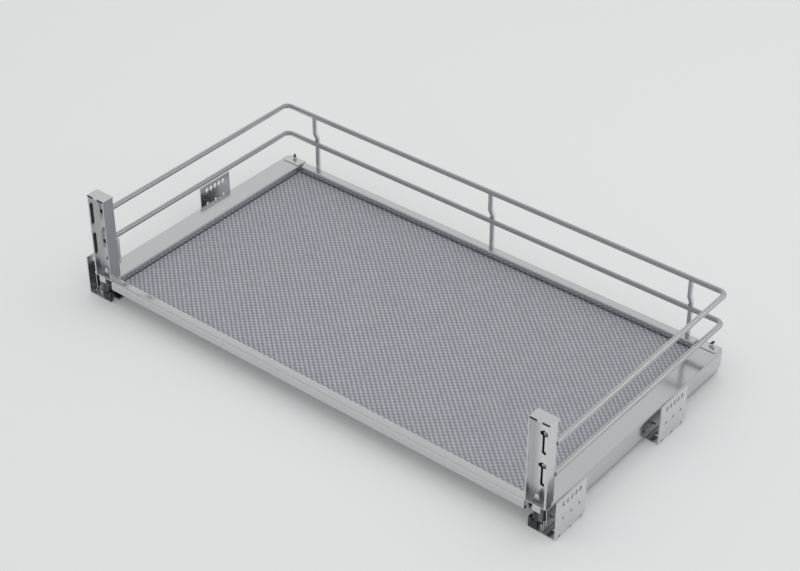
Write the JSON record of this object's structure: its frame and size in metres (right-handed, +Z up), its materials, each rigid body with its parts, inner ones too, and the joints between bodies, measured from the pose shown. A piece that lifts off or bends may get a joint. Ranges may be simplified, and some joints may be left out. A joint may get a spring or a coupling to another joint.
{
  "type": "pull-out pot basket",
  "caption": "Pull-out pot basket for a base cabinet: steel deck with ribbed mat, wire gallery, front panel brackets and full-extension ball slides on angle brackets.",
  "frame": {"origin": "middle of the whole object's width and depth, on the underside of the angle brackets' flanges", "axes": "+X to the right seen from the front, across the cabinet; +Y from the front into the cabinet; +Z up. The basket opens along -Y."},
  "size_m": [0.864, 0.442, 0.1825],
  "materials": {
    "zinc_steel": "bright zinc plating, satin",
    "rail_steel": "rolled zinc-plated steel",
    "ball_steel": "polished",
    "deck_paint": "smooth silver-grey, semi-gloss",
    "base_steel": "plain steel sheet",
    "bracket_steel": "satin nickel",
    "keyhole_steel": "bright zinc plating",
    "wire_steel": "satin nickel-plated wire",
    "mat": "ribbed weave, matt",
    "black_plastic": "moulded, fine texture",
    "lever_plastic": "moulded, fine texture",
    "cage_plastic": "natural acetal",
    "buffer_rubber": "soft, matt"
  },
  "bodies": {
    "cabinet_side": {"mounting_bracket_front_left": "zinc_steel", "mounting_bracket_rear_left": "zinc_steel", "cabinet_rail_left": "rail_steel", "rail_rivets_left": "rail_steel", "rail_buffer_left": "buffer_rubber", "mounting_bracket_front_right": "zinc_steel", "mounting_bracket_rear_right": "zinc_steel", "cabinet_rail_right": "rail_steel", "rail_rivets_right": "rail_steel", "rail_buffer_right": "buffer_rubber"},
    "basket": {"drawer_rail_left": "rail_steel", "side_channel_left": "deck_paint", "front_bracket_left": "bracket_steel", "keyhole_plate_left": "keyhole_steel", "panel_studs_left": "keyhole_steel", "bracket_cap_left": "bracket_steel", "bracket_cover_left": "bracket_steel", "bracket_rivets_left": "rail_steel", "lock_body_left": "lever_plastic", "lever_pin_left": "rail_steel", "rear_clip_left": "bracket_steel", "rear_hook_left": "black_plastic", "drawer_rail_right": "rail_steel", "side_channel_right": "deck_paint", "front_bracket_right": "bracket_steel", "keyhole_plate_right": "keyhole_steel", "panel_studs_right": "keyhole_steel", "bracket_cap_right": "bracket_steel", "bracket_cover_right": "bracket_steel", "bracket_rivets_right": "rail_steel", "lock_body_right": "lever_plastic", "lever_pin_right": "rail_steel", "rear_clip_right": "bracket_steel", "rear_hook_right": "black_plastic", "front_rail": "deck_paint", "back_rail": "deck_paint", "base_panel": "base_steel", "mat": "mat", "upper_wire": "wire_steel", "lower_wire": "wire_steel", "back_post_left": "wire_steel", "back_post_middle": "wire_steel", "back_post_right": "wire_steel"},
    "left_middle_rail": {"middle_rail_left": "rail_steel"},
    "left_lower_cage": {"lower_cage_left": "cage_plastic", "lower_balls_left": "ball_steel"},
    "left_upper_cage": {"upper_cage_left": "cage_plastic", "upper_balls_left": "ball_steel"},
    "left_lever": {"release_lever_left": "black_plastic"},
    "right_middle_rail": {"middle_rail_right": "rail_steel"},
    "right_lower_cage": {"lower_cage_right": "cage_plastic", "lower_balls_right": "ball_steel"},
    "right_upper_cage": {"upper_cage_right": "cage_plastic", "upper_balls_right": "ball_steel"},
    "right_lever": {"release_lever_right": "black_plastic"}
  },
  "joints": [
    {"name": "basket_slide", "type": "slide", "parent": "cabinet_side", "child": "basket", "axis": [0, -1, 0], "range_m": [0, 0.425]},
    {"name": "left_middle_rail_slide", "type": "slide", "parent": "cabinet_side", "child": "left_middle_rail", "axis": [0, -1, 0], "range_m": [0, 0.2125]},
    {"name": "left_lower_cage_slide", "type": "slide", "parent": "cabinet_side", "child": "left_lower_cage", "axis": [0, -1, 0], "range_m": [0, 0.10625]},
    {"name": "left_upper_cage_slide", "type": "slide", "parent": "cabinet_side", "child": "left_upper_cage", "axis": [0, -1, 0], "range_m": [0, 0.31875]},
    {"name": "left_lever_hinge", "type": "hinge", "parent": "basket", "child": "left_lever", "pos_m": [-0.39875, -0.2162, 0.028], "axis": [1, 0, 0], "range_deg": [0, 10], "stiffness_Nm_per_rad": 0.05, "springref_deg": -5.73},
    {"name": "right_middle_rail_slide", "type": "slide", "parent": "cabinet_side", "child": "right_middle_rail", "axis": [0, -1, 0], "range_m": [0, 0.2125]},
    {"name": "right_lower_cage_slide", "type": "slide", "parent": "cabinet_side", "child": "right_lower_cage", "axis": [0, -1, 0], "range_m": [0, 0.10625]},
    {"name": "right_upper_cage_slide", "type": "slide", "parent": "cabinet_side", "child": "right_upper_cage", "axis": [0, -1, 0], "range_m": [0, 0.31875]},
    {"name": "right_lever_hinge", "type": "hinge", "parent": "basket", "child": "right_lever", "pos_m": [0.39875, -0.2162, 0.028], "axis": [1, 0, 0], "range_deg": [0, 10], "stiffness_Nm_per_rad": 0.05, "springref_deg": -5.73}
  ],
  "couplings": [
    {"joint": "left_middle_rail_slide", "follows": "basket_slide", "ratio": 0.5},
    {"joint": "left_lower_cage_slide", "follows": "basket_slide", "ratio": 0.25},
    {"joint": "left_upper_cage_slide", "follows": "basket_slide", "ratio": 0.75},
    {"joint": "right_middle_rail_slide", "follows": "basket_slide", "ratio": 0.5},
    {"joint": "right_lower_cage_slide", "follows": "basket_slide", "ratio": 0.25},
    {"joint": "right_upper_cage_slide", "follows": "basket_slide", "ratio": 0.75}
  ]
}
